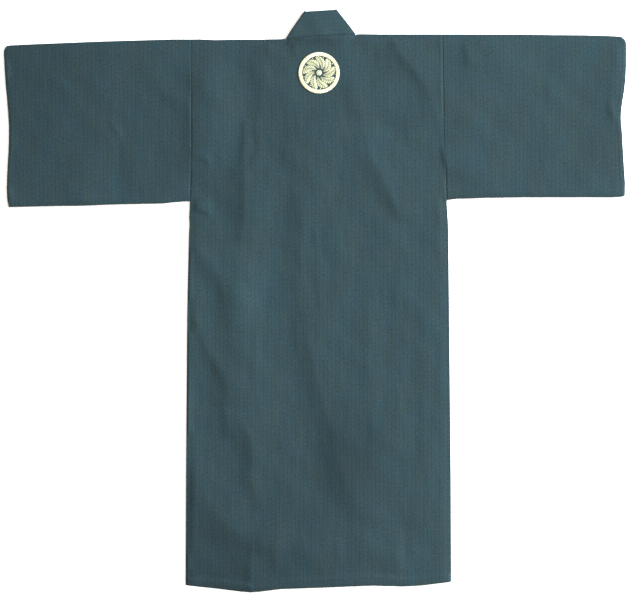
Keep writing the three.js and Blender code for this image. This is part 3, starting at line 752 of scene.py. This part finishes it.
def sleeve_place(side):
    under_from = SLEEVE_ROWS + SLEEVE_FOLD
    under_to = under_from + SLEEVE_UNDER

    def place(i, j):
        room = blank(i)
        across = ACROSS_SHARES[i]
        part = j <= SLEEVE_ROWS
        x, y = sleeve_point(side, across[part], SLEEVE_DOWN[SLEEVE_ROWS - j[part]])
        fill(room, part, (x, y, upper_cloth(x, y) + CLOTH), (x, y))
        part = (j >= under_from) & (j <= under_to)
        down = (j[part] - under_from) / SLEEVE_UNDER
        x, y = sleeve_point(side, across[part], down, UNDER_SEAM)
        fill(room, part, (x, y, 0 * x), (x, 2 * SLEEVE_CUT - y))
        for low, way, part, turn in (
            (0, 1, (j > SLEEVE_ROWS) & (j < under_from), (j - SLEEVE_ROWS) / SLEEVE_FOLD),
            (1, -1, j > under_to, 1 - (j - under_to) / SLEEVE_FOLD),
        ):
            turn = turn[part]
            x, y = sleeve_point(side, across[part], 0 * turn + low)
            outside = turn_over(x, y, (0, way), turn, 0, upper_cloth(x, y), CLOTH)
            on = way * (y + turn * SLEEVE_CUT) + 3 * SLEEVE_CUT * low
            fill(room, part, outside, (x, on))
        return room

    return place


# ---- the collar

COLLAR_ACROSS = 22
COLLAR_LEG = 90
COLLAR_BACK = 56
COLLAR_FOLD = 8
COLLAR_ROWS = 2 * COLLAR_LEG + 2 * COLLAR_FOLD + COLLAR_BACK
LEG_CROWDING = 1.1  # above 1, the rows are closer near the neck
CUT_APART = 1.0  # keeps the weave of the collar's three parts from repeating


def collar_turn(side):
    """The line where the band turns over, from its seam to its free edge."""
    inwards = -OUT[side]
    (left_x, left_y), (right_x, right_y) = NECK["left"], NECK["right"]
    along = np.array([right_x - left_x, right_y - left_y])
    along /= np.hypot(*along)
    front = np.array([inwards * COLLAR_LINE_START, -1])
    front /= np.hypot(*front)
    up = (-along[1], along[0])
    inner = (-inwards * front[1], inwards * front[0])
    cross = up[0] * inner[1] - up[1] * inner[0]
    free_x = COLLAR_WIDTH * (inner[1] - up[1]) / cross
    free_y = COLLAR_WIDTH * (up[0] - inner[0]) / cross
    x, y = NECK[side]
    x = x + along[0] * inwards * COLLAR_TURN
    y = y + along[1] * inwards * COLLAR_TURN
    seam = (x, max(y, float(shoulder(x))) + SEAM)
    return seam, (x + free_x, y + free_y)


def leg_point(side, down, across):
    """down is 0 at the turn and 1 at the collar's end, across is 0 at the seam."""
    inwards = -OUT[side]

    def edge(start, offset):
        def straight(y):
            slope = np.hypot(1, collar_slope(side, y))
            return collar_seam_x(side, y) + inwards * offset * slope

        y = lerp(start[1], NECK[side][1] - COLLAR_DROP, down)
        settle = 1 - smooth(COLLAR_DROP * down / COLLAR_WIDTH)
        return straight(y) + settle * (start[0] - straight(start[1])), y

    seam, free = collar_turn(side)
    (ax, ay), (bx, by) = edge(seam, SEAM), edge(free, COLLAR_WIDTH)
    return lerp(ax, bx, across), lerp(ay, by, across)


def collar_back_point(share, across):
    ends = [[leg_point(side, 0 * share, edge) for side in OUT] for edge in (0, 1)]
    (seam_x, seam_y), (free_x, free_y) = (
        [lerp(left, right, share) for left, right in zip(*edge)] for edge in ends
    )
    settle = smooth(np.minimum(share, 1 - share) * 8)
    seam_y = lerp(seam_y, shoulder(seam_x) + 2 * SEAM, settle)
    return lerp(seam_x, free_x, across), lerp(seam_y, free_y, across)


def collar_height(x, y):
    """Underside of the turned band, which waves a little over the neck opening."""
    inside = over_neck(x)
    lying = np.maximum(BAND_LAYER, under_back(x, y) + LOFT_AIR * inside)
    waves = 0.5 * np.sin(x / (17 * MM) + 1.3) + 0.4 * np.sin(x / (9 * MM) + y / (14 * MM))
    return lying + 0.7 * MM * inside * waves


def collar_place(i, j):
    room = blank(i)
    across = i / COLLAR_ACROSS
    width = across * COLLAR_WIDTH
    back_from = COLLAR_LEG + COLLAR_FOLD
    back_to = back_from + COLLAR_BACK
    right_from = back_to + COLLAR_FOLD
    for side, part, down in (
        ("left", j <= COLLAR_LEG, (COLLAR_LEG - j) / COLLAR_LEG),
        ("right", j >= right_from, (j - right_from) / COLLAR_LEG),
    ):
        x, y = leg_point(side, np.clip(down[part], 0, 1) ** LEG_CROWDING, across[part])
        on = y + CUT_APART * (side == "left")
        fill(room, part, (x, y, under_front(side, x, y)), (width[part], on))
    for side, part, turn in (
        ("left", (j > COLLAR_LEG) & (j < back_from), 1 - (j - COLLAR_LEG) / COLLAR_FOLD),
        ("right", (j > back_to) & (j < right_from), (j - back_to) / COLLAR_FOLD),
    ):
        seam, free = collar_turn(side)
        run = np.array(free) - np.array(seam)
        run /= np.hypot(*run)
        ways = (OUT[side] * run[1], -OUT[side] * run[0])
        x = lerp(seam[0], free[0], across[part])
        y = lerp(seam[1], free[1], across[part])
        outside = turn_over(x, y, ways, turn[part], 0, collar_height(x, y), BAND)
        fill(room, part, outside, (width[part], x + CUT_APART))
    part = (j >= back_from) & (j <= back_to)
    x, y = collar_back_point((j[part] - back_from) / COLLAR_BACK, across[part])
    fill(room, part, (x, y, collar_height(x, y) + BAND), (width[part], x + CUT_APART))
    return room


# ---- materials


class Shader:
    """The nodes of one material."""

    def __init__(self, name):
        self.material = bpy.data.materials.new(name)
        self.material.use_nodes = True
        self.tree = self.material.node_tree
        self.tree.nodes.clear()

    def node(self, kind, settings=None, **inputs):
        """A node with its settings set first, then its inputs by name."""
        made = self.tree.nodes.new(kind)
        for key, value in (settings or {}).items():
            setattr(made, key, value)
        for key, value in inputs.items():
            self.feed(made.inputs[key.replace("_", " ")], value)
        return made

    def feed(self, socket, value):
        if isinstance(value, Number):
            value = value.socket
        if isinstance(value, bpy.types.NodeSocket):
            self.tree.links.new(value, socket)
        else:
            socket.default_value = value

    def number(self, operation, *values):
        made = self.node("ShaderNodeMath", {"operation": operation})
        for socket, value in zip(made.inputs, values):
            self.feed(socket, value)
        return Number(self, made.outputs[0])

    def speckle(self, across, along, counts, layer, detail=2, roughness=0.5):
        """Noise about zero, with its counts a metre each way, on a layer of its own."""
        where = self.node(
            "ShaderNodeCombineXYZ", X=across * counts[0], Y=along * counts[1], Z=layer
        )
        made = self.node(
            "ShaderNodeTexNoise", {"noise_dimensions": "3D"},
            Vector=where.outputs[0], Scale=1, Detail=detail, Roughness=roughness,
        )
        return Number(self, made.outputs["Fac"]) - 0.5

    def parts(self, vector):
        """The first two numbers of a vector."""
        made = self.node("ShaderNodeSeparateXYZ", Vector=vector)
        return Number(self, made.outputs[0]), Number(self, made.outputs[1])

    def tint(self, factor, one, other):
        """One colour at 0 and the other at 1."""
        made = self.node("ShaderNodeMix", {"data_type": "RGBA"})
        self.feed(made.inputs[0], factor)
        self.feed(made.inputs[6], one)
        self.feed(made.inputs[7], other)
        return made.outputs[2]

    def shade(self, colour, by):
        """A colour times a number."""
        made = self.node("ShaderNodeVectorMath", {"operation": "SCALE"})
        self.feed(made.inputs[0], colour)
        self.feed(made.inputs["Scale"], by)
        return made.outputs[0]

    def bump(self, height, distance, strength):
        made = self.node(
            "ShaderNodeBump", Height=height, Distance=distance, Strength=strength
        )
        return made.outputs[0]

    def finish(self, **inputs):
        shader = self.node("ShaderNodeBsdfPrincipled", **inputs)
        self.node("ShaderNodeOutputMaterial", Surface=shader.outputs[0])
        return self.material


class Number:
    """A number at each point of a surface, held by a socket."""

    def __init__(self, shader, socket):
        self.shader, self.socket = shader, socket

    def __add__(self, other):
        return self.shader.number("ADD", self, other)

    def __sub__(self, other):
        return self.shader.number("SUBTRACT", self, other)

    def __rsub__(self, other):
        return self.shader.number("SUBTRACT", other, self)

    def __mul__(self, other):
        return self.shader.number("MULTIPLY", self, other)

    def __pow__(self, other):
        return self.shader.number("POWER", self, other)

    __radd__ = __add__
    __rmul__ = __mul__

    def sine(self):
        return self.shader.number("SINE", self)


def cut_places(shader):
    """How far a point is across the cloth's warp and along it."""
    return shader.parts(shader.node("ShaderNodeUVMap", {"uv_map": "cut"}).outputs[0])


STRIPE = 9.6 * MM  # from one group of dark warp threads to the next
RIB = 2.4 * MM
WARP_DRIFT = 1.2 * MM
TEAL = (0.0092, 0.0284, 0.0342, 1)
OLIVE = (0.0138, 0.0275, 0.0256, 1)
PLUM = (0.0164, 0.0254, 0.0371, 1)


def painted_light_and_shade(s, across, along):
    """Painted light and shade: how much lighter or darker the cloth's colour is made in the
    listed patches.
    """
    total = 1
    for x, y, wide, high, change in PAINTED_LIGHT_PLACES:
        u = (across - x * MM) * (1 / (wide * MM))
        v = (along - y * MM) * (1 / (high * MM))
        total = s.number("EXPONENT", (u * u + v * v) * -1) * change + total
    return total


def striped_cotton(name, brightness=1, stripe=0.13):
    s = Shader(name)
    across, along = cut_places(s)
    warp = across + s.speckle(across, along, (30, 4), 0) * WARP_DRIFT
    dark_lines = (0.5 + (warp * (tau / STRIPE)).sine() * 0.5) ** 2.5
    ribs = (warp * (tau / RIB)).sine()
    strands = s.speckle(warp, along, (430, 190), 3, 1, 0.6)
    long_strands = s.speckle(warp, along, (430, 12), 9, 1)
    grain = s.speckle(warp, along, (560, 560), 2, 1, 0.6)
    clouds = s.speckle(across, along, (9, 6), 5, 3)
    # the weave's lightness, multiplied by the painted light and shade patches
    light = (
        1.04 - dark_lines * stripe * (1 + long_strands * 2) + ribs * 0.02 + strands * 1.15
        + long_strands * 0.35 + grain * 0.75 + clouds * 0.12
    ) * brightness * painted_light_and_shade(s, across, along)
    hues = s.speckle(warp, along, (150, 60), 60, 2, 0.6)
    drifts = s.speckle(across, along, (22, 9), 70)
    speck = s.speckle(warp, along, (400, 260), 20, 1, 0.6)
    flecks = s.speckle(warp, along, (400, 260), 40, 1, 0.6)
    olive = 0.42 + speck * 2.5 + hues * 1.8 + drifts * 1.6 + long_strands * 0.9
    plum = 0.30 + flecks * 2.4 - hues * 0.9
    relief = ribs * 0.35 + strands * 0.8 + grain * 0.9
    return s.finish(
        Base_Color=s.shade(s.tint(plum, s.tint(olive, TEAL, OLIVE), PLUM), light),
        Roughness=0.86 + grain * 0.1, Normal=s.bump(relief, 0.16 * MM, 0.5),
        Specular_IOR_Level=0.11, Sheen_Weight=0.035, Sheen_Roughness=0.45,
    )


def gold_thread(name, pitch, colour, deep, lines, midrib):
    """Satin stitches. The cloth places hold how far on along the stitches' row, and across."""
    s = Shader(name)
    on, across = cut_places(s)
    wander = s.speckle(on, across, (160, 90), 1) * (0.6 * MM)
    threads = ((on + wander) * (tau / pitch)).sine()
    strands = s.speckle(on, across, (2600, 260), 4, 3, 0.7)
    patches = s.speckle(on, across, (210, 300), 8)
    light = 0.93 + threads * 0.10 + strands * 0.5 + patches * 0.45
    rib = s.number("DIVIDE", midrib, 1 + (across * 1400) * (across * 1400))
    tone = s.tint(0.5 + threads * lines + strands * 0.8 - rib, deep, colour)
    return s.finish(
        Base_Color=s.shade(tone, light), Roughness=0.42 - strands * 0.2,
        Normal=s.bump(threads * 0.6 + strands * 1.2, 0.35 * MM, 0.8),
        Metallic=0.25, Specular_IOR_Level=0.5, Sheen_Weight=0.2, Sheen_Roughness=0.3,
    )


def dark_twill(name):
    s = Shader(name)
    across, along = cut_places(s)
    steps = (along * (tau / (1.3 * MM))).sine()
    ribs = (across * (tau / (1.1 * MM)) + 0.5 * steps).sine()
    fuzz = s.speckle(across, along, (900, 900), 3, 3, 0.7)
    return s.finish(
        Base_Color=s.shade((0.012, 0.025, 0.030), 1 + ribs * 0.3 + fuzz * 0.8),
        Roughness=0.8 + fuzz * 0.2, Normal=s.bump(ribs + fuzz * 0.6, 0.2 * MM, 0.8),
        Specular_IOR_Level=0.25, Sheen_Weight=0.1,
    )


def sewing_thread(name, colour):
    s = Shader(name)
    across, along = cut_places(s)
    twist = ((across + along) * (tau / (0.6 * MM))).sine()
    fuzz = s.speckle(across, along, (1200, 1200), 6)
    return s.finish(
        Base_Color=s.shade(colour, 1 + twist * 0.15 + fuzz * 0.3),
        Roughness=0.7 + fuzz * 0.2, Normal=s.bump(twist, 0.1 * MM, 0.6),
    )


def matt_floor(name):
    s = Shader(name)
    x, y = s.parts(s.node("ShaderNodeTexCoord").outputs["Object"])
    clouds = s.speckle(x, y, (3, 3), 0)
    return s.finish(
        Base_Color=s.shade((0.97, 0.97, 0.97), 1 + clouds * 0.02), Roughness=0.9,
        Specular_IOR_Level=0.1,
    )


cotton = striped_cotton("striped_cotton")
band_cotton = striped_cotton("striped_cotton_band", 1.10, 0.06)
gold_rim = gold_thread(
    "gold_satin_rim", 0.9 * MM, (0.62, 0.61, 0.43, 1), (0.44, 0.41, 0.22, 1), 0.22, 0
)
gold_leaf = gold_thread(
    "gold_satin_leaf", 3.6 * MM, (0.56, 0.57, 0.36, 1), (0.10, 0.11, 0.06, 1), 0.42, 1
)
twill = dark_twill("dark_ribbed_ground")
thread = sewing_thread("sewing_thread", (0.028, 0.046, 0.050))
pale_thread = sewing_thread("pale_sewing_thread", (0.055, 0.08, 0.08))

# ---- the cloth pieces

body_cloth = add_shell(
    cloth_mesh(
        "body_cloth", BODY_COLUMNS, FRONT_FROM + FRONT_ROWS, body_place, keep=body_keep
    ),
    cotton, "body", CLOTH,
)
for side in OUT:
    mesh = cloth_mesh(
        f"overlap_{side}_cloth", OVERLAP_COLUMNS, OVERLAP_ROWS, overlap_place(side),
        flip=side == "right",
    )
    add_shell(mesh, cotton, f"overlap_{side}", CLOTH)
    mesh = cloth_mesh(
        f"sleeve_{side}_cloth", SLEEVE_COLUMNS, SLEEVE_RING, sleeve_place(side),
        flip=side == "left", weld=True,
    )
    add_shell(mesh, cotton, f"sleeve_{side}", CLOTH)
collar_band = add_shell(
    cloth_mesh("collar_band", COLLAR_ACROSS, COLLAR_ROWS, collar_place, flip=True),
    band_cotton, "collar", BAND, rounding=0.8 * MM,
)

# ---- the round patch

FACE = BED_HEIGHT + CLOTH + SEAM + PATCH_THICK - 0.5 * MM  # the ground, at its edge
ROOT = FACE - 0.1 * MM  # leaves, knots and button begin just inside the ground
FIELD = PATCH_RADIUS - PATCH_BORDER
RIM_COLUMNS = 720
RIM_STITCHES = 160
LEAVES = 9
LEAF_FROM, LEAF_TO = 0.22, 0.985  # shares of the field's radius
SLANT = 1.0  # a leaf's turn from the middle to the rim
BUTTON = 0.17
KNOT_OUT = 0.925
KNOT_TURN = 0.96
KNOT_RADIUS = 1.5 * MM


def patch_mesh(name, columns, rows, place, flip=True):
    """A welded grid. place takes shares of the way along its two sides."""
    return cloth_mesh(
        name, columns, rows, lambda i, j: place(i / columns, j / rows), flip=flip, weld=True
    )


def round_points(radius, angle, z):
    return np.stack([
        PATCH[0] + radius * np.cos(angle), PATCH[1] + radius * np.sin(angle), z + 0 * radius
    ], 1)


def ground_place(turn, share):
    radius = (FIELD + 2 * MM) * share
    dome = 0.15 * MM * (1 - (radius / FIELD) ** 2)
    points = round_points(radius, tau * turn, FACE + dome)
    return points, points[:, :2]


def rim_place(turn, share):
    """A raised round bead of satin stitches, whose ends are a little uneven."""
    angle = tau * turn
    count = np.rint(turn * RIM_COLUMNS) % RIM_COLUMNS
    stray = np.sin(count * 2.4) * np.sin(count * 1.1 + 2)
    width = PATCH_BORDER + 0.25 * MM * stray
    radius = FIELD - 0.3 * MM * stray + width * (1 - np.cos(pi * share)) / 2
    stitch = np.sin(angle * RIM_STITCHES)
    z = FACE - 0.3 * MM + (1.45 * MM + 0.07 * MM * stitch) * np.sin(pi * share) ** 0.7
    cut = np.stack([angle * PATCH_RADIUS, share * PATCH_BORDER], 1)
    return round_points(radius, angle, z), cut


def leaf_place(turn):
    """A slanting leaf of satin stitches that lean away from its midrib on both sides."""

    def place(on, share):
        aside = 2 * share - 1
        out = lerp(LEAF_FROM, LEAF_TO, on)
        fullness = np.sin(pi * np.clip(on, 0, 1) ** 1.15) ** 0.5
        half = pi / LEAVES * 1.04 * fullness
        groove = 0.45 * swell(aside, 0.12) * fullness
        dome = np.sqrt(np.maximum(0, 1 - aside * aside)) * fullness
        z = ROOT + 0.9 * MM * (dome - groove)
        points = round_points(out * FIELD, turn + SLANT * out + aside * half, z)
        length = out * FIELD
        row = length - 0.9 * half * np.abs(aside) * length
        return points, np.stack([row, aside * half * length], 1)

    return place


def button_place(turn, share):
    z = ROOT + 1.1 * MM * np.sqrt(np.maximum(0, 1 - share**3))
    points = round_points(BUTTON * FIELD * share, tau * turn, z)
    return points, np.stack([points[:, 0] + 0.4 * points[:, 1], points[:, 1]], 1)


def knot_place(turn):
    """A small round knot between the tips of two leaves."""
    middle = turn + SLANT * KNOT_TURN
    away = KNOT_OUT * FIELD * np.array([cos(middle), sin(middle), 0])

    def place(around, share):
        z = ROOT + 0.9 * MM * np.sqrt(np.maximum(0, 1 - share**2))
        points = round_points(KNOT_RADIUS * share, tau * around, z) + away
        return points, points[:, :2]

    return place


def joined(name, meshes):
    """One mesh from several."""
    bm = bmesh.new()
    for mesh in meshes:
        bm.from_mesh(mesh)
        bpy.data.meshes.remove(mesh)
    return closed_mesh(bm, name)


ground = patch_mesh("patch_ground", 96, 14, ground_place)
rim = patch_mesh("patch_rim", RIM_COLUMNS, 12, rim_place)
leaves = [
    patch_mesh("leaf", 36, 12, leaf_place(tau * k / LEAVES), flip=False)
    for k in range(LEAVES)
]
knots = [
    patch_mesh("knot", 16, 5, knot_place(tau * (k + 0.5) / LEAVES)) for k in range(LEAVES)
]
button = patch_mesh("button", 48, 8, button_place)
for mesh, material, wall in (
    (ground, twill, PATCH_THICK - 0.6 * MM),
    (rim, gold_rim, 0.5 * MM),
    (joined("patch_leaves", leaves), gold_leaf, 0.4 * MM),
    (joined("patch_button", [button, *knots]), gold_leaf, 0.4 * MM),
):
    add_shell(mesh, material, "patch", wall)

# ---- stitching


def stitch_row(name, x, y, length, gap, width, material, seed):
    """Small stitches along a line on the upper cloth."""
    z = upper_cloth(x, y) + CLOTH
    run = np.concatenate([[0], np.cumsum(np.hypot(np.diff(x), np.diff(y)))])
    count = int(run[-1] / (length + gap))
    chance = np.random.default_rng(seed)
    bm = bmesh.new()
    layer = bm.loops.layers.uv.new("cut")
    for k in range(count):
        middle = (k + 0.5) * run[-1] / count
        half = length * chance.uniform(0.42, 0.52)
        ends = [middle - half, middle + half]
        (xa, xb), (ya, yb), (za, zb) = (np.interp(ends, run, values) for values in (x, y, z))
        turn = atan2(yb - ya, xb - xa)
        for v in bmesh.ops.create_icosphere(bm, subdivisions=1, radius=1.0)["verts"]:
            u, w, h = v.co.x * half, v.co.y * width / 2, v.co.z * width / 2
            v.co = (
                (xa + xb) / 2 + u * cos(turn) - w * sin(turn) + SHIFT[0],
                (ya + yb) / 2 + u * sin(turn) + w * cos(turn) + SHIFT[1],
                lerp(za, zb, 0.5 + u / (2 * half)) + h,
            )
    for face in bm.faces:
        face.smooth = True
        for loop in face.loops:
            loop[layer].uv = (loop.vert.co.x, loop.vert.co.y)
    return add_piece(closed_mesh(bm, name), material)


STITCH_INSET = 4 * MM  # the hem's stitches end this far from its corners
left_end = side_edge("left", 1310 * MM) + STITCH_INSET
right_end = side_edge("right", 1300 * MM) - STITCH_INSET
x = np.linspace(left_end, right_end, 600)
y = hem(x) + read(HEM_TURN, x) - 3 * MM
hem_stitches = stitch_row("hem_stitches", x, y, 1.6 * MM, 7 * MM, 0.55 * MM, thread, 3)
for side in OUT:
    down = np.linspace(0.05, 0.985, 300)
    out = read(SLEEVES[side]["cuff"], down * SLEEVE_DEPTH) - CUFF_HEM
    y = lerp(read(SLEEVES[side]["top"], out), read(SLEEVES[side]["bottom"], out), down)
    stitch_row(
        f"cuff_stitches_{side}", OUT[side] * out, y, 3.2 * MM, 2.4 * MM, 0.6 * MM,
        pale_thread, 5,
    )

# ---- floor, light and camera

FLOOR_REACH = 12
FLOOR_DROP = 0.6 * MM  # keeps the floor clear of the cloth's underside

bm = bmesh.new()
bmesh.ops.create_grid(bm, x_segments=1, y_segments=1, size=FLOOR_REACH)
bmesh.ops.translate(bm, verts=bm.verts, vec=(0, 0, -FLOOR_DROP))
floor = put("floor", closed_mesh(bm, "floor"))
floor.data.materials.append(matt_floor("matt_floor"))


def soft_light(name, place, size, power, colour):
    """A round lamp that faces the middle of the floor."""
    light = bpy.data.lights.new(name, "AREA")
    light.shape = "DISK"
    light.size = size
    light.energy = power
    light.color = colour
    lamp = put(name, light)
    lamp.location = place
    lamp.rotation_euler = (-Vector(place)).to_track_quat("-Z", "Y").to_euler()


soft_light("window", (7.5, 3.6, 3.8), 2.5, 2680, (0.91, 1, 1.065))
soft_light("fill", (3.4, -1.8, 1.9), 1.4, 155, (1, 1, 1))
world = bpy.data.worlds.new("studio")
world.use_nodes = True
background = world.node_tree.nodes["Background"]
background.inputs["Color"].default_value = (1, 0.94, 0.88, 1)
background.inputs["Strength"].default_value = 1.3
bpy.context.scene.world = world
bpy.context.scene.view_settings.view_transform = "Standard"

VIEW_WIDTH = 1.5216  # what the camera takes in at the level of the cloth
CLOTH_LEVEL = 5 * MM
LENS = 100
SENSOR = 36
camera_data = bpy.data.cameras.new("camera")
camera_data.lens = LENS
camera_data.sensor_width = SENSOR
camera_data.clip_end = 50
camera = put("camera", camera_data)
camera.location = (4.8 * MM, -3.6 * MM, VIEW_WIDTH * LENS / SENSOR + CLOTH_LEVEL)
bpy.context.scene.camera = camera
